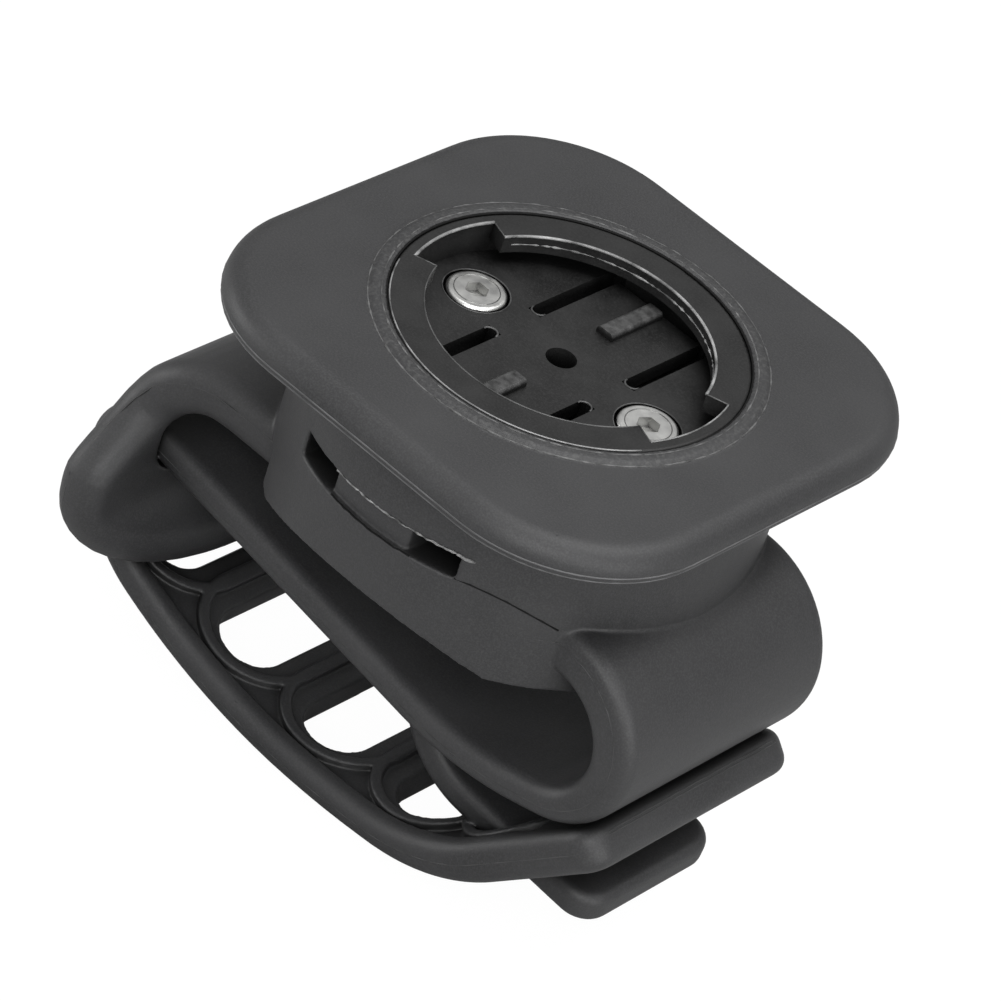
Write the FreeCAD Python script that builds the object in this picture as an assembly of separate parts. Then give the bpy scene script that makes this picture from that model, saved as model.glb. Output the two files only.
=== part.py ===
import FreeCAD, Part
import math
import os

from FreeCAD import Vector

# Quarter-turn mount with a silicone body, a moulded strap and a hard socket insert.
# Frame: origin at the centre of the plate's top face, +Z out of the plate,
# +X along the strap, +Y along the handlebar that the saddle sits on.
# All sizes are in millimetres.

# Plate
plate_side = 52.0
plate_corner_r = 14.5
plate_thick = 3.0
plate_edge_r = 2.2
plate_under_r = 0.5
collar_out_r = 18.3
collar_rise = 0.35

# Neck and saddle under the plate
plate_overhang = 3.6
neck_r = plate_side / 2 - plate_overhang
neck_left_low_z = -18.8
saddle_half_x = 15.4
saddle_crown_z = -19.1
saddle_foot_z = -22.3
saddle_arch_r = 31.0
neck_root_r = 1.6

# Side windows of the neck
window_top_z = -10.2
window_tall = 2.6
window_in_x = 4.5
window_out_x = 9.4
window_sill_deep = 0.6

# Socket insert
insert_r = 16.6
insert_proud = 0.2
insert_base_z = -5.6
insert_edge_r = 0.4
lip_r = 13.25
lip_thick = 1.8
pocket_r = 15.4
floor_z = -3.0
notch_half_angle = 20.0
spring_slot_x = 5.8
spring_slot_wide = 1.5
spring_slot_from_y = 2.6
spring_free_y = 13.4
catch_from_y = 6.0
catch_wide = 1.9
catch_shift_x = -0.25
catch_rise = 0.7
spring_relief = 1.0
centre_hole_r = 1.45

# Screws and the plate that they pull against
screw_half_pitch = 10.6
screw_r = 1.5
screw_end_z = -9.2
screw_hole_gap = 0.15
thread_gap = 0.05
head_r = 2.85
head_tall = 1.6
head_gap = 0.3
head_edge_r = 0.35
head_seat_z = -4.4
key_across = 2.0
key_deep = 1.0
backing_margin = 4.4
backing_r = screw_half_pitch + backing_margin
backing_half_y = 7.0
backing_top_z = -6.4
backing_thick = 3.0
nut_across = 5.5
nut_tall = 2.4
inlay_gap = 0.05

# Strap: one ribbon from the right arm to its free end
strap_half_y = 14.0
arm_top_z = -15.0
arm_thick = 5.0
loop_side_thick = 4.5
loop_out_r = 10.1
loop_centre_x = 18.4
loop_turn = 165.0
band_thick = 3.4
band_edge_r = 1.5
band_flat = 2.0
band_dip_r = 33.1
band_dip_angle = 23.5
wrap_r = 4.6
bar_wrap_r = 12.5
bar_wrap_angle = 67.4
field_r = 62.0
field_angle = 21.7
belly_r = 85.0
belly_angle = 6.7
rise_r = 21.0
end_run = 15.4
end_thick = 4.3
end_corner_r = 2.6
strap_gap = 0.3

# Ladder slots
slot_count = 5
slot_pitch = 12.45
slot_lead = 0.45
slot_half_wide = 3.55
slot_half_long = 9.5
rail_wide = 2.0
recess_deep = 0.8
cell_half_long = 11.7
cell_ridge = 1.1

# Hook tongue under the band
tongue_half_y = 9.2
tongue_root_x = 2.2
tongue_root_z = -35.5
tongue_bend_r = 9.0
tongue_bend_angle = 81.0
tongue_root_angle = -85.0
tongue_thick = 3.2
tongue_run = 16.6
tongue_corner_r = 3.0
tongue_edge_r = 1.0

# Left arm and its buckle paddle
paddle_half_y = 22.0
paddle_start_x = -13.6
paddle_mid_z = -20.7
paddle_thick = 5.2
paddle_shoulder_x = -24.8
paddle_shoulder_r = 6.6
paddle_drop = 6.6
paddle_foot_angle = 78.0
paddle_edge_r = 2.2
paddle_end_power = 2.4
paddle_wide_length = 27.5
flare_slow_share = 0.2
flare_slow_length = 9.0
flare_fast_length = 17.5
paddle_step = 1.1
rim_steps = 5
buckle_gap_y = 0.4
buckle_top_z = -24.4
buckle_low_z = -32.6
buckle_corner_share = 0.88


def advance(station, kind, radius, length):
    """Place and heading after a length along a line or an arc."""
    x, z, heading = station[:3]
    turn = 0.0 if kind == "go" else math.degrees(length / radius)
    turn = -turn if kind == "right" else turn
    half = math.radians(turn / 2.0)
    chord = length if abs(half) < 1e-9 else length * math.sin(half) / half
    aim = math.radians(heading) + half
    return x + chord * math.cos(aim), z + chord * math.sin(aim), heading + turn


def trail(x, z, heading, moves):
    """Legs of lines and arcs in the XZ plane, each with stations at its start, middle and end.

    A station is (x, z, heading in degrees, thickness, length from the start of the trail).
    """
    legs = []
    thick = moves[0][3]
    start = (x, z, heading, thick, 0.0)
    for kind, size, angle, thick_end in moves:
        length = size if kind == "go" else size * math.radians(angle)
        stations = [start]
        for part in (0.5, 1.0):
            place = advance(start, kind, size, length * part)
            stations.append(place + (thick + (thick_end - thick) * part, start[4] + length * part))
        legs.append((kind, size, stations))
        start = stations[-1]
        thick = thick_end
    return legs


def at_length(legs, length):
    """Station at a length along a trail."""
    for kind, size, stations in legs:
        one, two = stations[0], stations[-1]
        if length <= two[4]:
            break
    part = (length - one[4]) / (two[4] - one[4])
    place = advance(one, kind, size, length - one[4])
    return place + (one[3] + (two[3] - one[3]) * part, length)


def clip(legs, first, last):
    """Part of a trail between two lengths."""
    kept = []
    for kind, size, stations in legs:
        low = max(first, stations[0][4])
        high = min(last, stations[-1][4])
        if high - low > 0.05:
            kept.append((kind, size, [at_length([(kind, size, stations)], v)
                                      for v in (low, (low + high) / 2, high)]))
    return kept


def beside(station, offset):
    """Point at an offset to the left of a station."""
    x, z, heading = station[:3]
    aim = math.radians(heading)
    return Vector(x - offset * math.sin(aim), 0.0, z + offset * math.cos(aim))


def border(legs, offset):
    """Edges of one side of a ribbon, at an offset or at a share of its thickness."""
    edges = []
    for kind, size, stations in legs:
        points = [beside(s, offset(s)) for s in stations]
        if kind == "go":
            edges.append(Part.makeLine(points[0], points[-1]))
        else:
            edges.append(Part.Arc(*points).toShape())
    return edges


def slab(legs, half_y, low=None, high=None):
    """Solid swept along Y between two offsets of a trail, by default its own thickness."""
    left = border(legs, lambda s: s[3] / 2.0 if high is None else high)
    right = border(legs, lambda s: -s[3] / 2.0 if low is None else low)
    return sweep_y(left, right, half_y)


def sweep_y(left, right, half_y):
    """Solid swept along Y between two chains of edges that run the same way."""
    first = Part.makeLine(right[0].firstVertex(True).Point, left[0].firstVertex(True).Point)
    last = Part.makeLine(left[-1].lastVertex(True).Point, right[-1].lastVertex(True).Point)
    face = Part.Face(Part.Wire(Part.__sortEdges__([first] + left + [last] + right)))
    face.translate(Vector(0, -half_y, 0))
    return face.extrude(Vector(0, 2.0 * half_y, 0))


def stadium(half_long, half_wide, height):
    """Upright prism round the origin, long along Y, with fully rounded ends."""
    r = half_wide
    y = half_long - r
    wire = Part.Wire([
        Part.makeLine(Vector(r, -y, 0), Vector(r, y, 0)),
        Part.Arc(Vector(r, y, 0), Vector(0, half_long, 0), Vector(-r, y, 0)).toShape(),
        Part.makeLine(Vector(-r, y, 0), Vector(-r, -y, 0)),
        Part.Arc(Vector(-r, -y, 0), Vector(0, -half_long, 0), Vector(r, -y, 0)).toShape(),
    ])
    solid = Part.Face(wire).extrude(Vector(0, 0, height))
    solid.translate(Vector(0, 0, -height / 2.0))
    return solid


def rounded_box(half_x, half_y, corner_r, z_low, z_high):
    """Upright box with rounded corners."""
    box = Part.makeBox(2 * half_x, 2 * half_y, z_high - z_low, Vector(-half_x, -half_y, z_low))
    upright = [e for e in box.Edges if abs(e.Vertexes[0].Z - e.Vertexes[1].Z) > 1e-6]
    return box.makeFillet(corner_r, upright)


def on_trail(shape, station):
    """Turn an upright shape so that its Z axis is normal to the trail at a station."""
    placed = shape.copy()
    placed.rotate(Vector(0, 0, 0), Vector(0, 1, 0), -station[2])
    placed.translate(Vector(station[0], 0, station[1]))
    return placed


def side_edges(solid, half_y):
    """Edges of a slab that run along its two sides, apart from its ends."""
    found = []
    for edge in solid.Edges:
        ys = [v.Y for v in edge.Vertexes]
        if all(abs(abs(y) - half_y) < 1e-4 for y in ys) and abs(ys[0] - ys[-1]) < 1e-4:
            found.append(edge)
    return found


def loop_borders():
    """Outer and inner edges of the right arm and its loop, and where the even band starts.

    Two circles off each other's centre take the thickness from the arm to the band.
    """
    turn = math.radians(loop_turn)
    gone = math.sin(turn)
    down = -math.cos(turn)
    out_z = arm_top_z - loop_out_r
    shift_share = band_thick + arm_thick * down
    less_r = (shift_share - loop_side_thick * gone) / (1.0 + down - gone)
    shift = loop_side_thick - less_r
    in_r = loop_out_r - less_r
    in_x = loop_centre_x - shift
    in_z = arm_top_z - arm_thick - in_r
    chains = []
    for x, z, r, top in ((loop_centre_x, out_z, loop_out_r, arm_top_z),
                         (in_x, in_z, in_r, arm_top_z - arm_thick)):
        half = turn / 2
        middle = Vector(x + r * math.sin(half), 0, z + r * math.cos(half))
        end = Vector(x + r * gone, 0, z - r * down)
        chains.append([
            Part.makeLine(Vector(0, 0, top), Vector(x, 0, top)),
            Part.Arc(Vector(x, 0, top), middle, end).toShape(),
        ])
    outward = Vector(gone, 0, -down)
    inner_end = chains[1][-1].lastVertex(True).Point
    outer_end = inner_end + outward * band_thick
    chains[0].append(Part.makeLine(chains[0][-1].lastVertex(True).Point, outer_end))
    start = inner_end + outward * (band_thick / 2)
    return chains[0], chains[1], start


def loop_centre():
    """Middle of the loop's outer circle, as X and Z."""
    return loop_centre_x, arm_top_z - loop_out_r


def foot_r():
    """Radius of the paddle's lower end, which stays inside the strap wound round it."""
    return bar_wrap_r - band_thick / 2 - strap_gap - paddle_thick / 2


def wrap_centre():
    """Common centre of the strap's wide bend and the paddle's lower end."""
    return (paddle_shoulder_x - paddle_shoulder_r + foot_r(),
            paddle_mid_z - paddle_shoulder_r - paddle_drop)


def strap_trail():
    """Middle line of the even band from the loop, through the buckle, to the free end.

    The band runs straight until its small bend meets the wide bend round the paddle, and its
    end lies along the loop, at a gap.
    """
    start = loop_borders()[2]
    moves = [("go", band_flat, 0.0, band_thick), ("right", band_dip_r, band_dip_angle, band_thick)]
    last = trail(start.x, start.z, -loop_turn, moves)[-1][2][-1]
    x, z = wrap_centre()
    aim = math.radians(last[2])
    dx = last[0] - wrap_r * math.sin(aim) - x
    dz = last[1] + wrap_r * math.cos(aim) - z
    along = dx * math.cos(aim) + dz * math.sin(aim)
    reach = (bar_wrap_r - wrap_r) ** 2 - dx ** 2 - dz ** 2 + along ** 2
    run = math.sqrt(reach) - along
    small_x = dx + run * math.cos(aim)
    small_z = dz + run * math.sin(aim)
    outward = math.degrees(math.atan2(small_z, small_x)) + 90.0
    wrap_angle = (outward - last[2]) % 360.0
    moves += [
        ("go", run, 0.0, band_thick),
        ("left", wrap_r, wrap_angle, band_thick),
        ("left", bar_wrap_r, bar_wrap_angle, band_thick),
        ("left", field_r, field_angle, band_thick),
        ("left", belly_r, belly_angle, band_thick),
    ]
    last = trail(start.x, start.z, -loop_turn, moves)[-1][2][-1]
    centre = beside(last, rise_r)
    loop_x, loop_z = loop_centre()
    dx, dz = loop_x - centre.x, loop_z - centre.z
    less = rise_r - (loop_out_r + end_thick / 2 + strap_gap)
    heading = math.degrees(math.atan2(dz, dx) + math.asin(less / math.hypot(dx, dz)))
    rise_angle = (heading - last[2]) % 360.0
    moves += [("left", rise_r, rise_angle, end_thick), ("go", end_run, 0.0, end_thick)]
    return trail(start.x, start.z, -loop_turn, moves)


def paddle_trail():
    """Middle line of the left arm and its paddle."""
    return trail(paddle_start_x, paddle_mid_z, 180.0, [
        ("go", paddle_start_x - paddle_shoulder_x, 0.0, paddle_thick),
        ("left", paddle_shoulder_r, 90.0, paddle_thick),
        ("go", paddle_drop, 0.0, paddle_thick),
        ("left", foot_r(), paddle_foot_angle, paddle_thick),
    ])


def make_plate():
    """Rounded square plate, soft on top, with a low collar round the socket."""
    plate = rounded_box(plate_side / 2, plate_side / 2, plate_corner_r, -plate_thick, 0)
    top = [e for e in plate.Edges if all(abs(v.Z) < 1e-6 for v in e.Vertexes)]
    plate = plate.makeFillet(plate_edge_r, top)
    under = [e for e in plate.Edges if all(abs(v.Z + plate_thick) < 1e-6 for v in e.Vertexes)]
    plate = plate.makeFillet(plate_under_r, under)
    collar = Part.makeCone(collar_out_r, collar_out_r - collar_rise, collar_rise)
    return plate.fuse(collar)


def make_neck():
    """Round neck down to the saddle, arched underneath for the bar."""
    neck = Part.makeCylinder(neck_r, -plate_thick / 2 - saddle_foot_z, Vector(0, 0, saddle_foot_z))
    arch = Part.makeCylinder(saddle_arch_r, 4 * neck_r,
                             Vector(0, -2 * neck_r, saddle_crown_z - saddle_arch_r), Vector(0, 1, 0))
    tall = neck_left_low_z - saddle_foot_z
    spare = Part.makeBox(neck_r, 4 * neck_r, tall + 1.0,
                         Vector(-saddle_half_x - neck_r, -2 * neck_r, saddle_foot_z - 1.0))
    return neck.cut([arch, spare])


def make_head():
    """Plate and neck as one form, with a soft root where they meet."""
    head = make_plate().fuse(make_neck())
    root = [e for e in head.Edges if isinstance(e.Curve, Part.Circle)
            and abs(e.Curve.Radius - neck_r) < 1e-4 and abs(e.BoundBox.ZMax + plate_thick) < 1e-3]
    return head.makeFillet(neck_root_r, root)


def rim_edges(solid, half_y):
    """Side edges of a slab without those that close its two ends."""
    ends = [f.CenterOfMass for f in solid.Faces
            if f.BoundBox.YLength > 1.9 * half_y and f.Area < 2 * half_y * arm_thick * 1.01]
    found = []
    for edge in side_edges(solid, half_y):
        middle = edge.CenterOfMass
        if all(math.hypot(middle.x - e.x, middle.z - e.z) > 0.3 for e in ends):
            found.append(edge)
    return found


def closes(edge, station):
    """True for an upright edge at the corner of a ribbon's end."""
    middle = edge.CenterOfMass
    near = math.hypot(middle.x - station[0], middle.z - station[1]) < 1e-3
    return near and abs(edge.Length - station[3]) < 1e-3


def end_rim(solid, station):
    """Edges round the free end of a ribbon, without those along its sides."""
    found = []
    for edge in solid.Edges:
        middle = edge.CenterOfMass
        near = math.hypot(middle.x - station[0], middle.z - station[1]) < end_corner_r + station[3]
        along_side = all(abs(abs(v.Y) - strap_half_y) < 1e-4 for v in edge.Vertexes)
        crosses = abs(edge.Length - station[3]) < 1e-3
        if near and not crosses and not along_side:
            found.append(edge)
    return found


def hook_length(line):
    """Length along the strap at which it crosses the tongue's middle line."""
    one, two = tongue_trail()[-1][2][0], tongue_trail()[-1][2][-1]
    slope = (two[1] - one[1]) / (two[0] - one[0])
    end = line[-1][2][-1][4]
    step = 0.05
    length = end
    while length > end - 3 * slot_pitch:
        x, z = at_length(line, length)[:2]
        if z < one[1] + slope * (x - one[0]):
            return length
        length -= step
    return end - slot_pitch


def ladder_places(line):
    """Stations of the slots, counted back from the slot that the tongue goes through."""
    hook = hook_length(line) + slot_lead
    return [at_length(line, hook - slot_pitch * k) for k in range(slot_count)]


def make_strap(line):
    """Strap with thick side rails, a recessed ladder and a ridge round each slot."""
    outer, inner = loop_borders()[:2]
    outer += border(line, lambda s: s[3] / 2.0)
    inner += border(line, lambda s: -s[3] / 2.0)
    strap = sweep_y(outer, inner, strap_half_y)
    end = line[-1][2][-1]
    strap = strap.makeFillet(end_corner_r, [e for e in strap.Edges if closes(e, end)])
    strap = strap.makeFillet(band_edge_r, rim_edges(strap, strap_half_y) + end_rim(strap, end))
    places = ladder_places(line)
    reach = slot_pitch / 2 + cell_ridge / 2
    stretch = clip(line, places[-1][4] - reach, places[0][4] + reach)
    level = band_thick / 2 - recess_deep
    recess = slab(stretch, strap_half_y - rail_wide, low=level, high=band_thick / 2 + 1.0)
    rings = []
    for place in places:
        ring = stadium(cell_half_long, reach, 4 * band_thick)
        ring = ring.cut(stadium(cell_half_long - cell_ridge, reach - cell_ridge, 4 * band_thick))
        rings.append(on_trail(ring, place))
    recess = recess.cut(rings)
    slots = [on_trail(stadium(slot_half_long, slot_half_wide, 3 * band_thick), p) for p in places]
    return strap.cut([recess] + slots)


def corner_tool(station, half_y, corner_r, tall):
    """Tool that rounds the two corners of a ribbon's free end."""
    reach = 2 * corner_r
    blank = Part.makeBox(reach, 4 * half_y, tall, Vector(-corner_r, -2 * half_y, -tall / 2))
    keep = rounded_box(reach, half_y, corner_r, -tall, tall)
    keep.translate(Vector(-reach, 0, 0))
    return on_trail(blank.cut(keep), station)


def tongue_trail():
    """Middle line of the hook tongue, from inside the band to its tip."""
    return trail(tongue_root_x, tongue_root_z, tongue_root_angle, [
        ("left", tongue_bend_r, tongue_bend_angle, tongue_thick),
        ("go", tongue_run, 0.0, tongue_thick),
    ])


def make_tongue():
    line = tongue_trail()
    tongue = slab(line, tongue_half_y)
    end = line[-1][2][-1]
    tongue = tongue.cut(corner_tool(end, tongue_half_y, tongue_corner_r, 4 * tongue_thick))
    rim = [e for e in tongue.Edges
           if e.BoundBox.XMax > tongue_root_x + tongue_bend_r * 0.4 and not upright(e)]
    return tongue.makeFillet(tongue_edge_r, rim)


def upright(edge):
    """True for a short edge that crosses the thickness of a ribbon."""
    return edge.Length < tongue_thick * 1.05 and edge.BoundBox.YLength < 1e-4


def smooth(share):
    """Even blend from 0 to 1."""
    share = min(max(share, 0.0), 1.0)
    return share * share * (3.0 - 2.0 * share)


def paddle_outline(total):
    """Points (length, half width) of the paddle laid flat, from its root round to its tip."""
    points = []
    steps = int(paddle_wide_length / paddle_step)
    more = paddle_half_y - strap_half_y
    for k in range(steps + 1):
        length = paddle_wide_length * k / steps
        slow = smooth((length - flare_slow_length) / (flare_fast_length - flare_slow_length))
        fast = smooth((length - flare_fast_length) / (paddle_wide_length - flare_fast_length) * 1.15)
        share = flare_slow_share * slow + (1.0 - flare_slow_share) * fast
        points.append((length, strap_half_y + more * share))
    reach = total - paddle_wide_length
    for k in range(1, 61):
        turn = math.pi / 2 * k / 60
        length = paddle_wide_length + reach * math.sin(turn) ** (2.0 / paddle_end_power)
        points.append((length, paddle_half_y * max(math.cos(turn), 0.0) ** (2.0 / paddle_end_power)))
    return points


def inset_outline(points, inset):
    """Flat outline moved inward along its own normals."""
    moved = []
    for k, (length, half) in enumerate(points):
        one = points[max(k - 1, 0)]
        two = points[min(k + 1, len(points) - 1)]
        run, rise = two[0] - one[0], two[1] - one[1]
        size = math.hypot(run, rise)
        moved.append((length + inset * rise / size, half - inset * run / size))
    return moved


def half_at(points, length):
    """Half width of a flat outline at a length."""
    for one, two in zip(points, points[1:]):
        if one[0] <= length <= two[0]:
            share = (length - one[0]) / (two[0] - one[0])
            return max(one[1] + (two[1] - one[1]) * share, 0.0)
    return 0.0


def paddle_section(line, outline, length, total):
    """Closed wire across the paddle, with a rounded rim on both sides."""
    station = at_length(line, length)
    flat = paddle_thick / 2 - paddle_edge_r
    left = total - length
    first = math.asin(1.0 - left / paddle_edge_r) if left < paddle_edge_r else 0.0
    corner = []
    for k in range(rim_steps + 1):
        turn = first + (math.pi / 2 - first) * k / rim_steps
        inset = paddle_edge_r * (1.0 - math.sin(turn))
        half = half_at(inset_outline(outline, inset), length)
        corner.append((max(half, 0.02), flat + paddle_edge_r * math.cos(turn)))
    ring = corner + [(y, -n) for y, n in reversed(corner)]
    ring += [(-y, -n) for y, n in corner] + [(-y, n) for y, n in reversed(corner)]
    points = []
    for y, n in ring + ring[:1]:
        place = beside(station, n)
        points.append(Vector(place.x, y, place.z))
    return Part.makePolygon(points)


def make_paddle():
    """Left arm that widens to a paddle, with a rounded rim and the buckle slot."""
    line = paddle_trail()
    total = line[-1][2][-1][4]
    outline = paddle_outline(total)
    body = total - paddle_edge_r
    steps = int(body / paddle_step)
    lengths = [body * k / steps for k in range(steps + 1)]
    lengths += [body + paddle_edge_r * math.sin(math.radians(a)) for a in (18, 36, 54, 72)]
    sections = [paddle_section(line, outline, length, total) for length in lengths]
    return Part.makeLoft(sections, True, True).cut(make_buckle_slot())


def make_buckle_slot():
    """Tool for the slot that the strap comes through, along X with rounded corners."""
    half_z = (buckle_top_z - buckle_low_z) / 2
    slot = rounded_box(half_z, strap_half_y + buckle_gap_y, buckle_corner_share * half_z,
                       0, 3 * paddle_thick)
    slot.rotate(Vector(0, 0, 0), Vector(0, 1, 0), -90)
    slot.translate(Vector(paddle_shoulder_x, 0, (buckle_top_z + buckle_low_z) / 2))
    return slot


def make_body():
    """The whole silicone moulding with the seats for the parts inside it."""
    line = strap_trail()
    body = make_head().fuse([make_strap(line), make_tongue(), make_paddle()])
    tools = [Part.makeCylinder(insert_r + inlay_gap, collar_rise - insert_base_z + inlay_gap + 1.0,
                               Vector(0, 0, insert_base_z - inlay_gap))]
    tools.append(backing_blank(inlay_gap))
    tall = window_tall
    for side in (-1, 1):
        middle = side * (window_in_x + window_out_x) / 2
        wide = window_out_x - window_in_x
        tools.append(Part.makeBox(wide, 4 * neck_r, tall,
                                  Vector(middle - wide / 2, -2 * neck_r, window_top_z - tall)))
        tools.append(Part.makeCylinder(screw_r + screw_hole_gap, insert_base_z - backing_top_z + 1.0,
                                       Vector(side * screw_half_pitch, 0, backing_top_z - 0.5)))
    sill = Part.makeCylinder(neck_r + 1.0, tall, Vector(0, 0, window_top_z - tall))
    sill = sill.cut(Part.makeCylinder(neck_r - window_sill_deep, tall, Vector(0, 0, window_top_z - tall)))
    tools.append(sill.common(Part.makeBox(2 * window_out_x, 4 * neck_r, tall,
                                          Vector(-window_out_x, -2 * neck_r, window_top_z - tall))))
    return body.cut(tools)


def backing_blank(extra):
    """Disc cut to two flats, larger all round by a gap."""
    r = backing_r + extra
    y = backing_half_y + extra
    disc = Part.makeCylinder(r, backing_thick + 2 * extra,
                             Vector(0, 0, backing_top_z - backing_thick - extra))
    keep = Part.makeBox(2 * r, 2 * y, backing_thick + 2 * extra,
                        Vector(-r, -y, backing_top_z - backing_thick - extra))
    return disc.common(keep)


def hex_prism(across, height, x, z):
    """Upright hexagonal prism, measured across its flats."""
    r = across / math.sqrt(3.0)
    points = [Vector(x + r * math.cos(math.radians(a)), r * math.sin(math.radians(a)), z)
              for a in range(0, 361, 60)]
    return Part.Face(Part.makePolygon(points)).extrude(Vector(0, 0, height))


def make_backing():
    """Plate inside the neck, with the two nuts let into its underside."""
    plate = backing_blank(0.0)
    low = backing_top_z - backing_thick
    tools = []
    for x in (-screw_half_pitch, screw_half_pitch):
        tools.append(Part.makeCylinder(screw_r + screw_hole_gap, backing_thick + 1.0,
                                       Vector(x, 0, low - 0.5)))
        tools.append(hex_prism(nut_across + 2 * inlay_gap, nut_tall + inlay_gap + 0.5, x, low - 0.5))
    return plate.cut(tools)


def make_nut(x):
    nut = hex_prism(nut_across, nut_tall, x, backing_top_z - backing_thick)
    return nut.cut(Part.makeCylinder(screw_r + thread_gap, nut_tall + 1.0,
                                     Vector(x, 0, backing_top_z - backing_thick - 0.5)))


def make_screw(x):
    """Pan head screw with a hexagon socket."""
    head = Part.makeCylinder(head_r, head_tall, Vector(x, 0, head_seat_z))
    top = [e for e in head.Edges if abs(e.BoundBox.ZMin - head_seat_z - head_tall) < 1e-6]
    head = head.makeFillet(head_edge_r, top)
    shank = Part.makeCylinder(screw_r, head_seat_z - screw_end_z, Vector(x, 0, screw_end_z))
    key = hex_prism(key_across, key_deep + 0.5, x, head_seat_z + head_tall - key_deep)
    return head.fuse(shank).cut(key)


def sector(r, half_angle, z_low, z_high):
    """Wedge of a disc about the X axis."""
    wedge = Part.makeCylinder(r, z_high - z_low, Vector(0, 0, z_low), Vector(0, 0, 1), 2 * half_angle)
    wedge.rotate(Vector(0, 0, 0), Vector(0, 0, 1), -half_angle)
    return wedge


def make_insert():
    """Hard ring and floor that take the two-winged foot of the unit on top."""
    insert = Part.makeCylinder(insert_r, insert_proud - insert_base_z, Vector(0, 0, insert_base_z))
    rim = [e for e in insert.Edges if abs(e.BoundBox.ZMin - insert_proud) < 1e-6]
    insert = insert.makeFillet(insert_edge_r, rim)
    lip_low = insert_proud - lip_thick
    tools = [
        Part.makeCylinder(lip_r, insert_proud - floor_z + 1.0, Vector(0, 0, floor_z)),
        Part.makeCylinder(pocket_r, lip_low - floor_z, Vector(0, 0, floor_z)),
    ]
    notch = sector(pocket_r, notch_half_angle, floor_z, insert_proud + 1.0)
    tools.append(notch)
    other = notch.copy()
    other.rotate(Vector(0, 0, 0), Vector(0, 0, 1), 180)
    tools.append(other)
    insert = insert.cut(tools)
    return insert.cut(floor_tools()).fuse(make_catches())


def floor_tools():
    """Cuts in the insert's floor: springs, screw holes and the centre hole."""
    tools = [Part.makeCylinder(centre_hole_r, floor_z - insert_base_z + 1.0,
                               Vector(0, 0, insert_base_z - 0.5))]
    deep = floor_z - insert_base_z + 1.0
    for side in (-1, 1):
        slot_x = side * spring_slot_x - spring_slot_wide / 2
        for turn in (-1, 1):
            run = Part.makeBox(spring_slot_wide, spring_free_y + spring_slot_wide - spring_slot_from_y,
                               deep, Vector(slot_x, spring_slot_from_y, insert_base_z - 0.5))
            if turn < 0:
                run.rotate(Vector(slot_x + spring_slot_wide / 2, 0, 0), Vector(0, 0, 1), 180)
            tools.append(run)
        free = Part.makeBox(2 * spring_slot_x, pocket_r, deep,
                            Vector(-spring_slot_x, spring_free_y, insert_base_z - 0.5))
        relief = Part.makeBox(2 * spring_slot_x, pocket_r, spring_relief + 0.5,
                              Vector(-spring_slot_x, spring_slot_from_y, insert_base_z - 0.5))
        if side < 0:
            for tool in (free, relief):
                tool.rotate(Vector(0, 0, 0), Vector(0, 0, 1), 180)
        limit = Part.makeCylinder(pocket_r, deep + 1.0, Vector(0, 0, insert_base_z - 1.0))
        tools.append(free.common(limit))
        tools.append(relief.common(limit))
        x = side * screw_half_pitch
        tools.append(Part.makeCylinder(screw_r + screw_hole_gap, deep, Vector(x, 0, insert_base_z - 0.5)))
        tools.append(Part.makeCylinder(head_r + head_gap, floor_z - head_seat_z + 0.5,
                                       Vector(x, 0, head_seat_z)))
    return tools


def make_catches():
    """Ribs on the springs that the foot's wings click over."""
    catches = []
    for side in (-1, 1):
        rib = Part.makeBox(catch_wide, spring_free_y - 0.4 - catch_from_y, catch_rise + 0.4,
                           Vector(catch_shift_x - catch_wide / 2, catch_from_y, floor_z - 0.4))
        top = [e for e in rib.Edges if e.BoundBox.ZMin > floor_z + catch_rise - 0.01
               and e.BoundBox.YLength > 1.0]
        rib = rib.makeFillet(catch_rise * 0.6, top)
        if side < 0:
            rib.rotate(Vector(0, 0, 0), Vector(0, 0, 1), 180)
        catches.append(rib)
    return catches


os.makedirs("parts", exist_ok=True)
make_body().exportStep("parts/silicone_body.step")
make_insert().exportStep("parts/socket_insert.step")
make_backing().exportStep("parts/backing_plate.step")
make_screw(-screw_half_pitch).exportStep("parts/screw_left.step")
make_screw(screw_half_pitch).exportStep("parts/screw_right.step")
make_nut(-screw_half_pitch).exportStep("parts/nut_left.step")
make_nut(screw_half_pitch).exportStep("parts/nut_right.step")
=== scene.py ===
# %% [markdown]
# A silicone handlebar mount, dressed for a studio picture.
# The real object is one soft moulding: a square plate, a neck, a saddle for the bar and a
# strap with slots that hooks back on a tongue. A hard socket with two screws sits in the plate.
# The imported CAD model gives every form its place, so this script adds finishes, fine
# moulding detail, a camera and light, all in metres and in the CAD model's frame.

# %% Load the model
import math
import random

import bpy
import bmesh
from mathutils import Matrix, Vector
from mathutils.bvhtree import BVHTree


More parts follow.
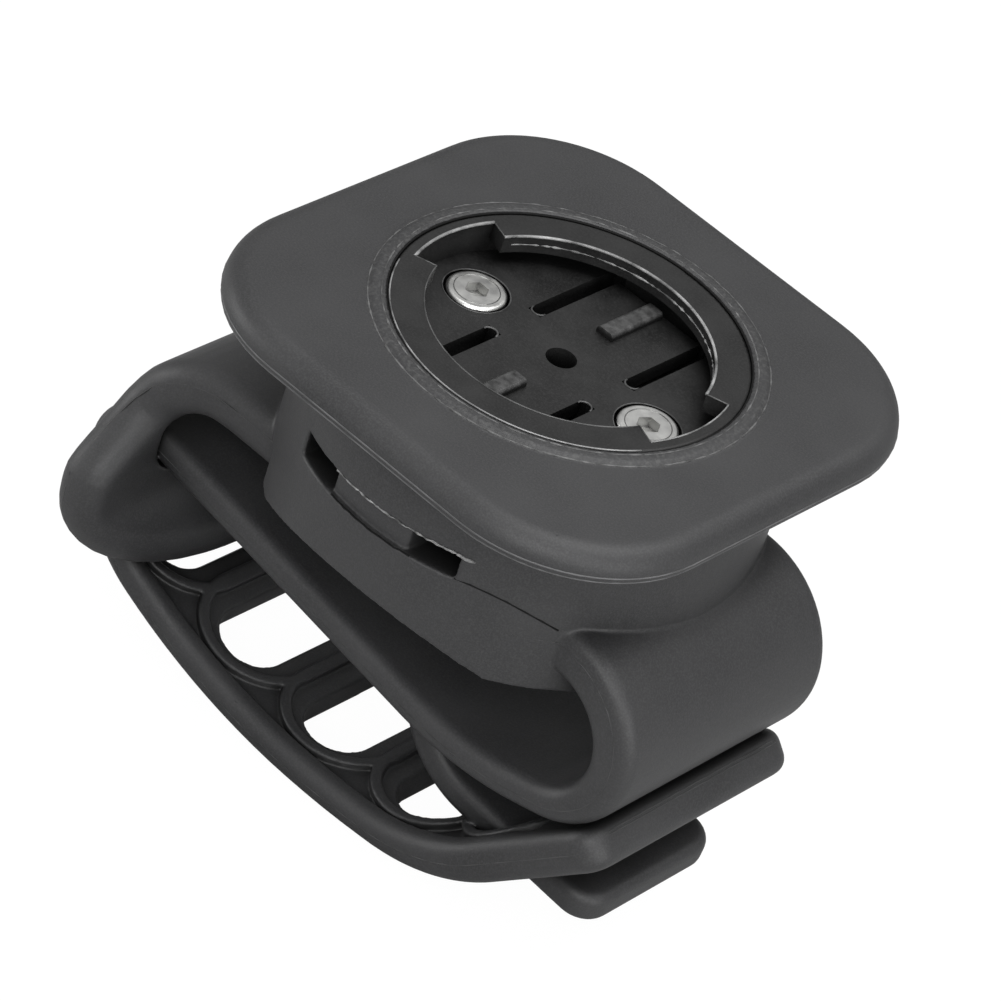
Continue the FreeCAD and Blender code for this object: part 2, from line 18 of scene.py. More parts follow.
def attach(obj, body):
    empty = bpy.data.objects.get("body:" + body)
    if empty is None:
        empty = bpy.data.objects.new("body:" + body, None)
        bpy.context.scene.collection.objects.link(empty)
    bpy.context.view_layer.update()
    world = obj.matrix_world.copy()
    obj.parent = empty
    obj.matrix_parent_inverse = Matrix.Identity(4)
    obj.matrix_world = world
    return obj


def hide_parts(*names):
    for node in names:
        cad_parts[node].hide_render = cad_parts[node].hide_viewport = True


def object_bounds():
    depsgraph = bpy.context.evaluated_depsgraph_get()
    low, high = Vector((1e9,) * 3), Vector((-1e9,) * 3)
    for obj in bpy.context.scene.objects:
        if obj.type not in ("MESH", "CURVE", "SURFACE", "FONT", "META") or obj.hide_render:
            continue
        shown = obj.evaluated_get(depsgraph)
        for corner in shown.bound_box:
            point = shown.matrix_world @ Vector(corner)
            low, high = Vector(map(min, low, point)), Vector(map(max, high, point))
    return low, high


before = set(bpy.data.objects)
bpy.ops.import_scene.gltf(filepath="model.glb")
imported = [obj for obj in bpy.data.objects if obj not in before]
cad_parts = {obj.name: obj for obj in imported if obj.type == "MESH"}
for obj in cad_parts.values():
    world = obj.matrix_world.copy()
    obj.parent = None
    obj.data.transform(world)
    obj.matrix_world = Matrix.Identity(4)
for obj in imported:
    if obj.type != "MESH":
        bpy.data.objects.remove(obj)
cad_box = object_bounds()
MM = 0.001
print("nodes:", sorted(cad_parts))
print("CAD box:", cad_box)

# %% [markdown]
# The camera comes first, because everything is judged through it.
# A long lens far from the object gives the mild perspective of a product picture. The angles
# came from fitting the plate's corners and the socket's rings to the picture: 32 degrees round,
# 37 degrees up, and the camera rolled on its own axis. The roll could be given as a rotation in
# Euler angles, but three direction vectors are easier to check than three angles.

# %% Camera
azimuth = math.radians(31.716)
elevation = math.radians(36.926)
roll = math.radians(-18.699)
distance = 454.4 * MM
aside = 6.112 * MM
above = 14.782 * MM

right = Vector((math.cos(azimuth), math.sin(azimuth), 0.0))
back = Vector((math.sin(azimuth) * math.cos(elevation),
               -math.cos(azimuth) * math.cos(elevation),
               math.sin(elevation)))
up = back.cross(right)
rolled_right = math.cos(roll) * right - math.sin(roll) * up
rolled_up = math.sin(roll) * right + math.cos(roll) * up

camera = bpy.data.objects.new("camera", bpy.data.cameras.new("camera"))
bpy.context.scene.collection.objects.link(camera)
place = back * distance - rolled_right * aside - rolled_up * above
turn = Matrix((rolled_right, rolled_up, back)).transposed()
camera.matrix_world = Matrix.Translation(place) @ turn.to_4x4()
camera.data.sensor_width = 36.0
camera.data.lens = 186.8
camera.data.clip_start = 0.01
bpy.context.scene.camera = camera
print("camera at", [round(v, 4) for v in place])

# %% [markdown]
# Dark silicone shows its form only through soft, broad highlights, so the light is a pale world
# and four large lamps. A pure white background comes from what camera rays see in the world and
# the floor, not from more light on the object.

# %% World
scene = bpy.context.scene
scene.view_settings.view_transform = "Standard"
world = bpy.data.worlds.new("studio")
scene.world = world
world.use_nodes = True
tree = world.node_tree
tree.nodes.clear()
path = tree.nodes.new("ShaderNodeLightPath")
where = tree.nodes.new("ShaderNodeTexCoord")
height = tree.nodes.new("ShaderNodeSeparateXYZ")
sky = tree.nodes.new("ShaderNodeMapRange")
sky.inputs["From Min"].default_value = -0.1
sky.inputs["From Max"].default_value = 0.7
sky.inputs["To Min"].default_value = 0.12
sky.inputs["To Max"].default_value = 0.60
level = tree.nodes.new("ShaderNodeMath")
level.operation = "MAXIMUM"
tree.links.new(where.outputs["Generated"], height.inputs[0])
tree.links.new(height.outputs["Z"], sky.inputs["Value"])
tree.links.new(sky.outputs["Result"], level.inputs[0])
tree.links.new(path.outputs["Is Camera Ray"], level.inputs[1])
backdrop = tree.nodes.new("ShaderNodeBackground")
backdrop.inputs["Color"].default_value = (1.0, 1.0, 1.0, 1.0)
tree.links.new(level.outputs[0], backdrop.inputs["Strength"])
tree.links.new(backdrop.outputs[0], tree.nodes.new("ShaderNodeOutputWorld").inputs["Surface"])


# %% Lamps
lamp_aim = Vector((0.0, 0.0, -0.02))


def softbox(name, place, size, watts):
    """Square lamp aimed at the middle of the mount."""
    lamp = bpy.data.lights.new(name, "AREA")
    lamp.size = size
    lamp.energy = watts
    holder = bpy.data.objects.new(name, lamp)
    scene.collection.objects.link(holder)
    turn = (lamp_aim - Vector(place)).to_track_quat("-Z", "Y")
    holder.matrix_world = Matrix.Translation(place) @ turn.to_matrix().to_4x4()
    return holder


softbox("key", (0.10, 0.10, 0.60), 0.50, 3.05)
softbox("front", (0.28, -0.56, 0.42), 0.45, 3.2)
softbox("right", (0.60, -0.16, 0.12), 0.40, 1.8)
softbox("left", (-0.58, -0.30, 0.04), 0.32, 1.8)

# %% Floor
floor_gap = 0.0008
floor_half = 4.0
floor_z = cad_box[0][2] - floor_gap
ground = bmesh.new()
bmesh.ops.create_grid(ground, x_segments=1, y_segments=1, size=floor_half)
floor_mesh = bpy.data.meshes.new("floor")
ground.to_mesh(floor_mesh)
ground.free()
floor = bpy.data.objects.new("floor", floor_mesh)
floor.location = (0.0, 0.0, floor_z)
scene.collection.objects.link(floor)
pale = bpy.data.materials.new("pale_floor")
pale.use_nodes = True
tree = pale.node_tree
tree.nodes.clear()
shade = tree.nodes.new("ShaderNodeBsdfDiffuse")
shade.inputs["Color"].default_value = (0.44, 0.44, 0.44, 1.0)
white = tree.nodes.new("ShaderNodeEmission")
white.inputs["Strength"].default_value = 1.08
path = tree.nodes.new("ShaderNodeLightPath")
share = tree.nodes.new("ShaderNodeMath")
share.operation = "MULTIPLY"
share.inputs[1].default_value = 0.90
both = tree.nodes.new("ShaderNodeMixShader")
tree.links.new(path.outputs["Is Camera Ray"], share.inputs[0])
tree.links.new(share.outputs[0], both.inputs["Fac"])
tree.links.new(shade.outputs[0], both.inputs[1])
tree.links.new(white.outputs[0], both.inputs[2])
tree.links.new(both.outputs[0], tree.nodes.new("ShaderNodeOutputMaterial").inputs["Surface"])
floor_mesh.materials.append(pale)
print("floor at", round(floor_z, 4))

# %% [markdown]
# Moulded silicone is dark, satin and very finely grained, with a faint pale bloom that dust and
# handling leave on it. The grain is far smaller than the bloom's clouds. Both effects are useful
# on the socket's hard plastic too, so each is a node group that is built once.


# %% Shared surface effects
def new_group(name, inputs, outputs):
    """Empty node group with named sockets."""
    group = bpy.data.node_groups.new(name, "ShaderNodeTree")
    for label, value in inputs:
        socket = group.interface.new_socket(label, in_out="INPUT", socket_type="NodeSocketFloat")
        socket.default_value = value
    for label, kind in outputs:
        group.interface.new_socket(label, in_out="OUTPUT", socket_type=kind)
    return group, group.nodes.new("NodeGroupInput"), group.nodes.new("NodeGroupOutput")


def moulded_grain():
    """Fine even grain of a sand blasted mould, as a normal."""
    group, given, out = new_group(
        "moulded_grain",
        [("Scale", 6000.0), ("Depth", 0.2)],
        [("Normal", "NodeSocketVector")])
    where = group.nodes.new("ShaderNodeTexCoord")
    grain = group.nodes.new("ShaderNodeTexNoise")
    grain.inputs["Detail"].default_value = 3.0
    grain.inputs["Roughness"].default_value = 0.6
    bump = group.nodes.new("ShaderNodeBump")
    bump.inputs["Distance"].default_value = 0.00003
    link = group.links.new
    link(where.outputs["Object"], grain.inputs["Vector"])
    link(given.outputs["Scale"], grain.inputs["Scale"])
    link(given.outputs["Depth"], bump.inputs["Strength"])
    link(grain.outputs["Fac"], bump.inputs["Height"])
    link(bump.outputs["Normal"], out.inputs["Normal"])
    return group


def bloom_mask():
    """Soft clouds from 0 to 1, for the pale bloom and for small changes of gloss."""
    group, given, out = new_group(
        "bloom_mask",
        [("Scale", 90.0), ("Low", 0.35), ("High", 0.75)],
        [("Mask", "NodeSocketFloat")])
    where = group.nodes.new("ShaderNodeTexCoord")
    cloud = group.nodes.new("ShaderNodeTexNoise")
    cloud.inputs["Detail"].default_value = 5.0
    span = group.nodes.new("ShaderNodeMapRange")
    link = group.links.new
    link(where.outputs["Object"], cloud.inputs["Vector"])
    link(given.outputs["Scale"], cloud.inputs["Scale"])
    link(cloud.outputs["Fac"], span.inputs["Value"])
    link(given.outputs["Low"], span.inputs["From Min"])
    link(given.outputs["High"], span.inputs["From Max"])
    link(span.outputs["Result"], out.inputs["Mask"])
    return group


def crevice_shade_mask():
    """1 deep in a crevice and 0 in the open, for painted shade that darkens the colour where shadow
    falls.
    """
    group, given, out = new_group(
        "crevice_shade_mask",
        [("Reach", 0.004), ("Open", 0.85), ("Deep", 0.25)],
        [("Mask", "NodeSocketFloat")])
    near = group.nodes.new("ShaderNodeAmbientOcclusion")
    near.samples = 6
    span = group.nodes.new("ShaderNodeMapRange")
    link = group.links.new
    link(given.outputs["Reach"], near.inputs["Distance"])
    link(near.outputs["AO"], span.inputs["Value"])
    link(given.outputs["Open"], span.inputs["From Min"])
    link(given.outputs["Deep"], span.inputs["From Max"])
    link(span.outputs["Result"], out.inputs["Mask"])
    return group


def ring_mask():
    """Flecks on a flat ring round the Z axis, between two radii and above a height."""
    group, given, out = new_group(
        "ring_mask",
        [("From", 0.0166), ("To", 0.0186), ("Soft", 0.0003), ("Above", -0.001), ("Scale", 1500.0),
         ("Cover", 0.56)],
        [("Mask", "NodeSocketFloat")])
    nodes, link = group.nodes, group.links.new
    where = nodes.new("ShaderNodeTexCoord")
    parts = nodes.new("ShaderNodeSeparateXYZ")
    link(where.outputs["Object"], parts.inputs[0])
    flat = nodes.new("ShaderNodeCombineXYZ")
    link(parts.outputs["X"], flat.inputs["X"])
    link(parts.outputs["Y"], flat.inputs["Y"])
    reach = nodes.new("ShaderNodeVectorMath")
    reach.operation = "LENGTH"
    link(flat.outputs[0], reach.inputs[0])

    def step(value, edge, rising):
        """Soft step of a value at an edge."""
        gap = nodes.new("ShaderNodeMath")
        gap.operation = "SUBTRACT"
        link(value if rising else edge, gap.inputs[0])
        link(edge if rising else value, gap.inputs[1])
        share = nodes.new("ShaderNodeMath")
        share.operation = "DIVIDE"
        share.use_clamp = True
        link(gap.outputs[0], share.inputs[0])
        link(given.outputs["Soft"], share.inputs[1])
        return share.outputs[0]

    fleck = nodes.new("ShaderNodeTexNoise")
    fleck.inputs["Detail"].default_value = 4.0
    link(where.outputs["Object"], fleck.inputs["Vector"])
    link(given.outputs["Scale"], fleck.inputs["Scale"])
    speck = nodes.new("ShaderNodeMapRange")
    speck.inputs["From Max"].default_value = 0.72
    link(given.outputs["Cover"], speck.inputs["From Min"])
    link(fleck.outputs["Fac"], speck.inputs["Value"])
    total = speck.outputs["Result"]
    for value, edge, rising in ((reach.outputs["Value"], given.outputs["From"], True),
                                (reach.outputs["Value"], given.outputs["To"], False),
                                (parts.outputs["Z"], given.outputs["Above"], True)):
        both = nodes.new("ShaderNodeMath")
        both.operation = "MULTIPLY"
        link(total, both.inputs[0])
        link(step(value, edge, rising), both.inputs[1])
        total = both.outputs[0]
    link(total, out.inputs["Mask"])
    return group


grain_group = moulded_grain()
bloom_group = bloom_mask()
crevice_shade_group = crevice_shade_mask()
ring_group = ring_mask()
print("groups:", [g.name for g in (grain_group, bloom_group, crevice_shade_group, ring_group)])


# %% Finishes
def finish(name, dark, light, roughness, gloss_spread, metal=0.0, grain=0.2, grain_scale=6000.0,
           cloud_scale=90.0, sheen=0.5, layers=()):
    """Material whose colour and gloss drift slowly, with a fine grain and masked layers."""
    material = bpy.data.materials.new(name)
    material.use_nodes = True
    tree = material.node_tree
    skin = tree.nodes["Principled BSDF"]
    skin.inputs["Metallic"].default_value = metal
    skin.inputs["Specular IOR Level"].default_value = sheen
    bloom = tree.nodes.new("ShaderNodeGroup")
    bloom.node_tree = bloom_group
    bloom.inputs["Scale"].default_value = cloud_scale
    colour = tree.nodes.new("ShaderNodeMix")
    colour.data_type = "RGBA"
    colour.inputs["A"].default_value = (*dark, 1.0)
    colour.inputs["B"].default_value = (*light, 1.0)
    gloss = tree.nodes.new("ShaderNodeMapRange")
    gloss.inputs["To Min"].default_value = roughness - gloss_spread
    gloss.inputs["To Max"].default_value = roughness + gloss_spread
    bumps = tree.nodes.new("ShaderNodeGroup")
    bumps.node_tree = grain_group
    bumps.inputs["Scale"].default_value = grain_scale
    bumps.inputs["Depth"].default_value = grain
    link = tree.links.new
    link(bloom.outputs["Mask"], colour.inputs["Factor"])
    tint = colour.outputs["Result"]
    for group, values, over in layers:
        mask = tree.nodes.new("ShaderNodeGroup")
        mask.node_tree = group
        for label, value in values.items():
            mask.inputs[label].default_value = value
        layer = tree.nodes.new("ShaderNodeMix")
        layer.data_type = "RGBA"
        layer.inputs["B"].default_value = (*over, 1.0)
        link(mask.outputs["Mask"], layer.inputs["Factor"])
        link(tint, layer.inputs["A"])
        tint = layer.outputs["Result"]
    link(tint, skin.inputs["Base Color"])
    link(bloom.outputs["Mask"], gloss.inputs["Value"])
    link(gloss.outputs["Result"], skin.inputs["Roughness"])
    link(bumps.outputs["Normal"], skin.inputs["Normal"])
    return material


def grey(value):
    """Neutral colour."""
    return value, value, value


# The silicone's last layer is painted shade: its colour goes nearly black in crevices.
silicone = finish(
    "satin_silicone", (0.021, 0.021, 0.022), (0.032, 0.032, 0.033), 0.52, 0.05, grain=0.6,
    sheen=0.42,
    layers=((bloom_group, {"Scale": 5600.0, "Low": 0.42, "High": 0.74}, (0.040, 0.040, 0.041)),
            (ring_group, {"Scale": 2600.0, "Cover": 0.48}, grey(0.055)),
            (crevice_shade_group, {"Reach": 0.005, "Open": 0.88, "Deep": 0.35}, grey(0.005))))
# Painted light on the socket's plastic: the ring layer puts pale flecks on the tops of the raised
# catches above the floor, a painted highlight, and the last layer is painted shade in the pocket
# under the lip and in other crevices.
hard_plastic = finish(
    "socket_plastic", grey(0.009), grey(0.018), 0.42, 0.10, cloud_scale=260.0, grain=0.5,
    sheen=0.30,
    layers=((bloom_group, {"Scale": 4800.0, "Low": 0.45, "High": 0.75}, grey(0.022)),
            (ring_group, {"From": 0.005, "To": 0.0131, "Above": -0.0027, "Cover": 0.25},
             grey(0.075)),
            (crevice_shade_group, {"Reach": 0.003, "Open": 0.7, "Deep": 0.3}, grey(0.002))))
# Pale finishes for beads on the socket's edges: painted highlights where light catches an edge.
edge_highlight_plastic = finish("edge_highlight_plastic", grey(0.025), grey(0.10), 0.40, 0.08, cloud_scale=500.0)
bright_edge_highlight = finish("painted_highlight_edge", grey(0.07), grey(0.38), 0.34, 0.08, cloud_scale=420.0)
collar_torn = finish("collar_edge", grey(0.03), grey(0.15), 0.50, 0.05, cloud_scale=900.0)
# Black for thin beads that stand for shadows in gaps and along edges: painted shade.
shade_line_black = finish("shadow_gap", grey(0.002), grey(0.004), 0.70, 0.05, sheen=0.2)
# The screw steel's layer is painted shade, darker in the hex recess and other crevices.
bright_steel = finish(
    "screw_steel", (0.56, 0.56, 0.55), (0.74, 0.74, 0.72), 0.36, 0.06, metal=1.0, grain=0.1,
    cloud_scale=700.0,
    layers=((crevice_shade_group, {"Reach": 0.0007, "Open": 0.6, "Deep": 0.3}, grey(0.16)),))
plain_steel = finish("plate_steel", grey(0.45), (0.56, 0.56, 0.55), 0.40, 0.06, metal=1.0)
dull_steel = finish("turned_steel", grey(0.16), (0.34, 0.34, 0.33), 0.35, 0.08, metal=1.0,
                    cloud_scale=900.0)
# Lighter than the silicone: a painted highlight for the plate's thin flash lines.
flash_highlight = finish("flash_highlight_silicone", (0.060, 0.060, 0.061), (0.110, 0.110, 0.112), 0.45, 0.05,
               cloud_scale=400.0)
torn_flash = finish("torn_silicone", grey(0.05), grey(0.42), 0.50, 0.05, cloud_scale=1100.0)
seam = finish("seam_silicone", grey(0.012), (0.050, 0.050, 0.051), 0.50, 0.05,
              cloud_scale=300.0)

wears = {
    "silicone_body": silicone,
    "socket_insert": hard_plastic,
    "backing_plate": plain_steel,
    "screw_left": bright_steel,
    "screw_right": bright_steel,
    "nut_left": plain_steel,
    "nut_right": plain_steel,
}
for node, material in wears.items():
    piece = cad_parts[node]
    for slot in piece.material_slots:
        slot.material = material
    print(node, "wears", material.name)

# %% [markdown]
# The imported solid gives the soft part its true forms, but its creases are knife sharp and the
# paddle shows its flat facets. Real silicone comes out of the mould with soft creases. So the
# solid is copied, covered with one even skin of 0.15 mm cells, smoothed a little and thinned to a
# size that a viewer can load. The strap lies about 0.3 mm from its neighbours, so coarser cells
# would weld them together. Rounding each crease with its own bevel was the other way, but the
# creases between curved forms are too many and too short for that.


# %% Softened silicone body
def applied(draft):
    """Mesh of an object with its modifiers applied."""
    graph = bpy.context.evaluated_depsgraph_get()
    return bpy.data.meshes.new_from_object(draft.evaluated_get(graph))


def count(mesh):
    """Number of triangles of a mesh."""
    return sum(len(p.vertices) - 2 for p in mesh.polygons)


askew = (Vector((0.789, -0.577, -0.211)).rotation_difference(Vector((0.0, 0.0, 1.0)))
         .to_matrix().to_4x4())


def softened(node, name, cell, inset, passes, triangles):
    """Copy of a solid as one even skin with soft creases.

    The grid of the skin stands askew to the part, so no long edge runs along it in steps. The
    draft is thinned by the inset before the grid and thickened by it afterwards, so that gaps
    of a few tenths of a millimetre stay open instead of being bridged.
    """
    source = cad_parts[node]
    draft = bpy.data.objects.new(name + "_draft", source.data.copy())
    draft.data.transform(askew)
    scene.collection.objects.link(draft)
    weld = draft.modifiers.new("weld", "WELD")
    weld.merge_threshold = 0.005 * MM
    thinner = draft.modifiers.new("thinner", "DISPLACE")
    thinner.mid_level = 0.0
    thinner.strength = -inset
    skin = draft.modifiers.new("skin", "REMESH")
    skin.mode = "VOXEL"
    skin.voxel_size = cell
    soft = draft.modifiers.new("soft", "SMOOTH")
    soft.iterations = passes
    soft.factor = 0.5
    thicker = draft.modifiers.new("thicker", "DISPLACE")
    thicker.mid_level = 0.0
    thicker.strength = inset
    full = count(applied(draft))
    thin = draft.modifiers.new("thin", "DECIMATE")
    thin.ratio = min(1.0, triangles / full)
    mesh = applied(draft)
    mesh.transform(askew.inverted())
    mesh.name = name
    bpy.data.objects.remove(draft)
    mesh.polygons.foreach_set("use_smooth", [True] * len(mesh.polygons))
    piece = bpy.data.objects.new(name, mesh)
    piece.matrix_world = source.matrix_world
    scene.collection.objects.link(piece)
    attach(piece, "root")
    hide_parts(node)
    print(name, "has", count(mesh), "triangles, thinned from", full)
    return piece


body = softened("silicone_body", "silicone_skin", cell=0.15 * MM, inset=0.08 * MM, passes=14,
                triangles=190000)
body.data.materials.clear()
body.data.materials.append(silicone)
skin_tree = BVHTree.FromPolygons([v.co for v in body.data.vertices],
                                 [list(p.vertices) for p in body.data.polygons])

# %% [markdown]
# A mould leaves fine lines where its halves meet: a double line of flash round the plate's lower
# edge, painted lighter than the silicone as a highlight, one line along the middle of the strap's
# sides, one round the paddle's rim, and torn bits over the windows. A line from each window to the
# loop and one under each window are black, painted shade. They are thin beads laid on the surface.
# The strap's line follows the same arcs and straights as the solid.


# %% Bead builder
def seated(point, sink):
    """Nearest place on the soft skin, sunk by a depth in millimetres."""
    place, normal, face, gap = skin_tree.find_nearest(Vector(point) * MM)
    return place - normal * sink * MM


def bead(name, points, radius, material, closed=False, sides=6, slot="silicone", ragged=0.0, seed=1,
         sink=None):
    """Thin tube along points in millimetres. A ragged bead has an uneven radius.

    With a sink depth, the bead lies on the soft skin, sunk by that much.
    """
    luck = random.Random(seed)
    path = [Vector(p) * MM if sink is None else seated(p, sink) for p in points]
    mesh = bmesh.new()
    rings = []
    total = len(path)
    for k, middle in enumerate(path):
        before = path[(k - 1) % total] if closed or k else path[0]
        after = path[(k + 1) % total] if closed or k < total - 1 else path[-1]
        along = (after - before).normalized()
        side = along.cross(Vector((0.0, 0.0, 1.0)))
        if side.length < 0.1:
            side = along.cross(Vector((0.0, 1.0, 0.0)))
        side.normalize()
        rise = side.cross(along)
        size = radius * MM * (1.0 + ragged * luck.uniform(-1.0, 1.0))
        ring = []
        for j in range(sides):
            angle = 2.0 * math.pi * j / sides
            out = side * math.cos(angle) + rise * math.sin(angle)
            ring.append(mesh.verts.new(middle + out * size))
        rings.append(ring)
    spans = total if closed else total - 1
    for k in range(spans):
        one, two = rings[k], rings[(k + 1) % total]
        for j in range(sides):
            mesh.faces.new((one[j], one[(j + 1) % sides], two[(j + 1) % sides], two[j]))
    if not closed:
        mesh.faces.new(list(reversed(rings[0])))
        mesh.faces.new(rings[-1])
    data = bpy.data.meshes.new(name)
    bmesh.ops.recalc_face_normals(mesh, faces=mesh.faces)
    mesh.to_mesh(data)
    mesh.free()
    data.polygons.foreach_set("use_smooth", [True] * len(data.polygons))
    data.materials.append(material)
    piece = bpy.data.objects.new(name, data)
    scene.collection.objects.link(piece)
    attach(piece, "root")
    print(name, "has", count(data), "triangles")
    return piece


# %% Lines along the plate
def rounded_square(half, corner, z, steps=14):
    """Closed outline of a rounded square, in millimetres."""
    points = []
    for quarter in range(4):
        angle = math.radians(90 * quarter)
        x = (half - corner) * (1 if quarter in (0, 3) else -1)
        y = (half - corner) * (1 if quarter in (0, 1) else -1)
        for k in range(steps + 1):
            turn = angle + math.radians(90) * k / steps
            points.append((x + corner * math.cos(turn), y + corner * math.sin(turn), z))
    return points


# Both plate lines are lighter than the silicone: a painted highlight on the thin flash.
bead("plate_flash_upper", rounded_square(26.0, 14.5, -2.25), 0.10, flash_highlight, closed=True, sink=0.03)
bead("plate_flash_lower", rounded_square(25.9, 14.4, -2.80), 0.12, flash_highlight, closed=True, sink=0.03)


# %% Lines along the strap
def walk(x, z, heading, legs, step=0.8):
    """Points with headings along lines and arcs in the XZ plane."""
    places = [(x, z, heading)]
    for kind, size, angle in legs:
        length = size if kind == "go" else size * math.radians(angle)
        turn = {"go": 0.0, "left": angle, "right": -angle}[kind]
        parts = max(1, round(length / step))
        for k in range(1, parts + 1):
            part = turn * k / parts
            half = math.radians(part / 2)
            far = length * k / parts
            chord = far if abs(half) < 1e-9 else far * math.sin(half) / half
            aim = math.radians(heading) + half
            places.append((x + chord * math.cos(aim), z + chord * math.sin(aim), heading + part))
        x, z, heading = places[-1]
    return places


def along_side(places, offset, y):
    """Points at an offset to the left of a walk, on the plane of one side."""
    return [(x - offset * math.sin(math.radians(h)), y, z + offset * math.cos(math.radians(h)))
            for x, z, h in places]


strap_half = 14.0
band = walk(20.021, -33.362, -165.0, [
    ("go", 2.0, 0.0), ("right", 33.1, 23.5), ("go", 35.743, 0.0), ("left", 4.6, 98.573),
    ("left", 12.5, 67.4), ("left", 62.0, 21.7), ("left", 85.0, 6.7), ("left", 21.0, 38.086),
    ("go", 13.0, 0.0)])
loop = walk(6.0, -15.0, 0.0, [("go", 12.4, 0.0), ("right", 10.1, 165.0)])
for side, y in (("front", -strap_half), ("back", strap_half)):
    line = along_side(loop, -1.65, y)[:-1] + along_side(band, 0.0, y)
    bead("parting_line_strap_" + side, line, 0.06, seam, sides=5, ragged=0.35, seed=21,
         sink=0.03)
for label, up in (("upper", 1.25), ("lower", 0.85)):
    across = [(28.2 - 0.695 * up, y, -33.1 + 0.719 * up) for y in range(-12, 13)]
    bead("strap_end_line_" + label, across, 0.07, seam, sides=5, sink=0.03)


# %% Line round the paddle
def paddle_place(length, y, lift):
    """Point on the bent arm at a length from its root, in millimetres."""
    arm = walk(-13.6, -20.7, 180.0, [
        ("go", 11.2, 0.0), ("left", 6.6, 90.0), ("go", 6.6, 0.0), ("left", 7.9, 78.0)], step=0.1)
    lengths = [0.0]
    for one, two in zip(arm, arm[1:]):
        lengths.append(lengths[-1] + math.dist(one[:2], two[:2]))
    k = min(range(len(arm)), key=lambda n: abs(lengths[n] - length))
    x, z, heading = arm[k]
    turn = math.radians(heading)
    return x + lift * math.sin(turn), y, z - lift * math.cos(turn)


paddle_edge = [
    (2.0, 14.0), (5.0, 14.0), (8.0, 14.0), (10.3, 14.1), (12.0, 14.45), (13.75, 14.94),
    (15.5, 15.3), (17.2, 15.6), (18.9, 16.3), (20.6, 17.5), (22.4, 19.4), (24.1, 21.0),
    (25.8, 21.8), (27.5, 22.0), (28.9, 21.94), (29.9, 21.77), (30.9, 21.5), (31.8, 21.1),
    (32.6, 20.6), (33.4, 20.0), (34.15, 19.3), (34.8, 18.4), (35.5, 17.5), (36.1, 16.5),
    (36.6, 15.35), (37.1, 14.1), (37.5, 12.8), (37.9, 11.4), (38.2, 9.9), (38.45, 8.3),
    (38.65, 6.5), (38.8, 4.7), (38.9, 2.6), (38.92, 0.0)]
rim = [paddle_place(length, -half, 0.9) for length, half in paddle_edge]
rim += [(x, -y, z) for x, y, z in reversed(rim[:-1])]
bead("parting_line_paddle", rim, 0.065, seam, sides=5, ragged=0.35, seed=22, sink=0.03)

# %% Lines and torn flash round the neck
neck = 22.4
window_from = -4.3
window_to = 9.3
window_top = -10.2
flash_steps = 45
neck_trace = [(9.3, -12.7), (10.7, -12.75), (12.2, -12.95), (13.6, -13.3), (14.9, -13.85),
              (16.2, -14.55), (17.3, -15.3)]


def on_neck(x, z, out=0.0, side=-1):
    """Point on the neck's round wall."""
    reach = neck + out
    return x, side * math.sqrt(reach * reach - x * x), z


for side, label in ((-1, "front"), (1, "back")):
    # The neck's parting line and the line under each window are black beads: painted shade.
    bead("parting_line_neck_shadow_" + label, [on_neck(x, z, 0.0, side) for x, z in neck_trace], 0.13,
         shade_line_black, sides=5, sink=0.05)
    shadow_sill = [on_neck(window_from + 0.5 * k, -12.68, 0.0, side) for k in range(20)]
    bead("window_sill_shadow_" + label, shadow_sill, 0.11, shade_line_black, sides=5, sink=0.05)
    luck = random.Random(7 if side < 0 else 11)
    torn = []
    for k in range(flash_steps + 1):
        x = window_from + (window_to - window_from) * k / flash_steps
        torn.append(on_neck(x, -10.12 + luck.uniform(-0.08, 0.05), luck.uniform(-0.10, 0.0), side))
    bead("window_flash_" + label, torn, 0.09, torn_flash, sides=5, ragged=0.8, seed=5 - side)
    corner = [on_neck(9.0 + 0.4 * k, window_top + luck.uniform(-0.2, 0.0), 0.0, side)
              for k in range(5)]
    bead("window_tear_" + label, corner, 0.13, torn_flash, sides=5, ragged=0.8, seed=12 - side)

# %% [markdown]
# The socket gets a few fine marks. A black ring in the gap that parts it from the silicone collar
# is painted shade, and the collar's two edges are rough where they were trimmed. The lip's edges,
# the notches' edges, the ends of the spring slots and the counterbores carry pale beads, painted
# highlights where light catches an edge, and each screw head has a turned ring.


# %% Collar and socket edges
def arc(r, z, first=0.0, last=360.0, step=3.0, middle=(0.0, 0.0)):
    """Points of an arc round an upright axis, in millimetres and degrees."""
    parts = max(2, round((last - first) / step))
    whole = abs(last - first - 360.0) < 1e-6
    return [(middle[0] + r * math.cos(math.radians(first + (last - first) * k / parts)),
             middle[1] + r * math.sin(math.radians(first + (last - first) * k / parts)), z)
            for k in range(parts if whole else parts + 1)]


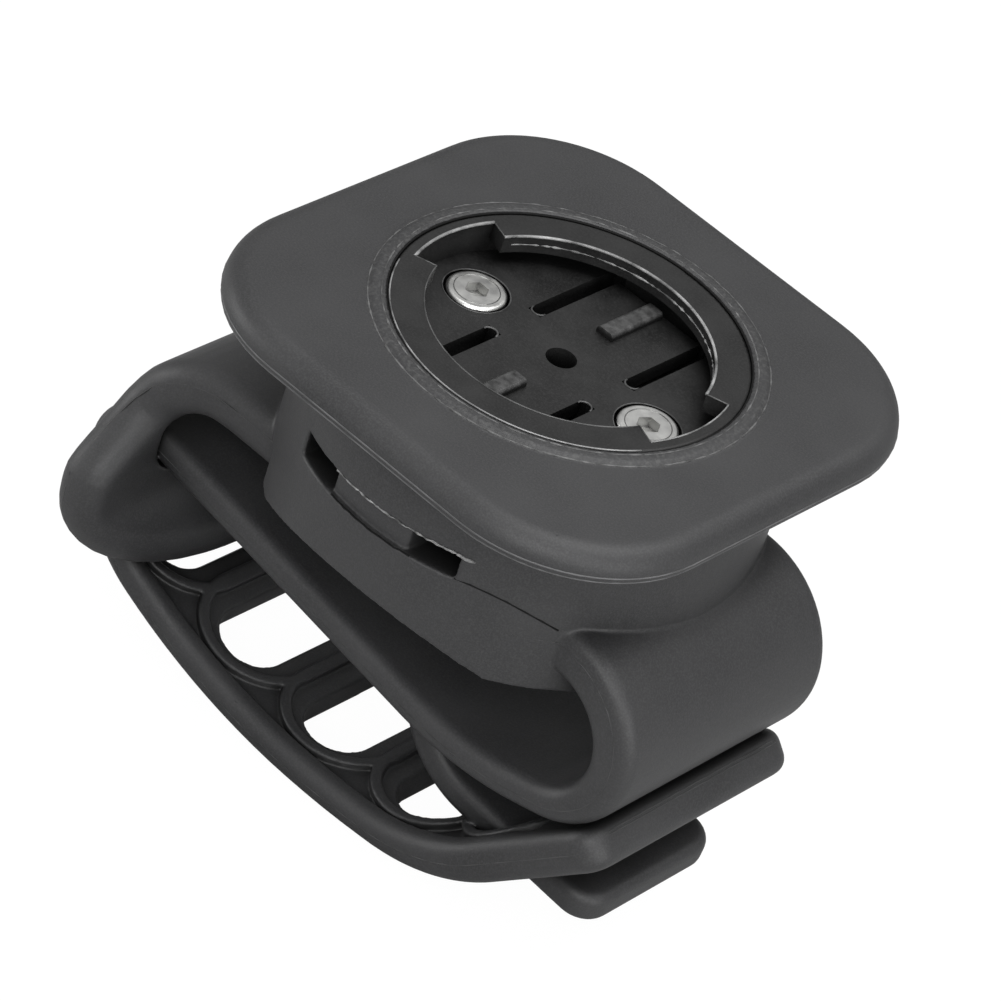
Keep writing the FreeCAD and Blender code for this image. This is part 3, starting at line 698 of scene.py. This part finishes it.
insert = {"slot": "insert_plastic"}
lip_r = 13.25
notch_r = 15.4
notch_half = 20.0
top_z = 0.2
# A black ring stands for the shadow in the gap round the socket: painted shade.
bead("collar_gap_shadow", arc(16.67, 0.16), 0.13, shade_line_black, closed=True)
bead("collar_edge_outer", arc(18.3, 0.1, step=1.5), 0.08, collar_torn, closed=True, ragged=0.6,
     seed=3, sink=0.03)
bead("collar_edge_inner", arc(17.1, 0.3, step=1.5), 0.07, collar_torn, closed=True, ragged=0.7,
     seed=4, sink=0.03)
# The next beads are painted highlights: pale lines where light catches the insert's rim, the lip
# and the notches.
bead("insert_rim_highlight", arc(16.35, 0.17, 205.0, 335.0), 0.08, bright_edge_highlight, **insert)
bead("lip_top_highlight_back", arc(lip_r, 0.18, 20.0, 160.0), 0.14, bright_edge_highlight, **insert)
bead("lip_top_highlight_front", arc(lip_r, top_z, 200.0, 340.0), 0.07, edge_highlight_plastic, **insert)
bead("lip_low_flash_highlight", arc(13.27, -0.75, 26.0, 156.0, 1.5), 0.09, bright_edge_highlight, ragged=0.8, seed=8,
     **insert)
for label, middle, radius in (("right", 0.0, 0.09), ("left", 180.0, 0.16)):
    bead("notch_top_highlight_" + label, arc(notch_r, 0.17, middle - notch_half, middle + notch_half),
         radius, bright_edge_highlight, **insert)
    for side in (-notch_half, notch_half):
        turn = math.radians(middle + side)
        ends = [(r * math.cos(turn), r * math.sin(turn), top_z) for r in (lip_r, 14.3, notch_r)]
        bead("notch_side_wear_%s_%d" % (label, side), ends, 0.07, edge_highlight_plastic, **insert)

# %% Painted highlights on the socket floor, and screw rings
floor_top = -3.0
head_top = -2.8
for x in (-5.8, 5.8):
    for y in (-1, 1):
        first = 180.0 if y > 0 else 0.0
        end = arc(0.72, floor_top, first, first + 180.0, 20.0, (x, y * 3.3))
        bead("slot_end_highlight_%s_%s" % ("right" if x > 0 else "left", "back" if y > 0 else "front"),
             end, 0.10, edge_highlight_plastic, **insert)
for label, x in (("left", -10.6), ("right", 10.6)):
    bead("counterbore_highlight_" + label, arc(3.15, floor_top, 0.0, 360.0, 8.0, (x, 0.0)), 0.07,
         edge_highlight_plastic, closed=True, **insert)
    bead("screw_ring_" + label, arc(2.15, head_top, 0.0, 360.0, 10.0, (x, 0.0)), 0.05, dull_steel,
         closed=True, slot="fastener_steel")
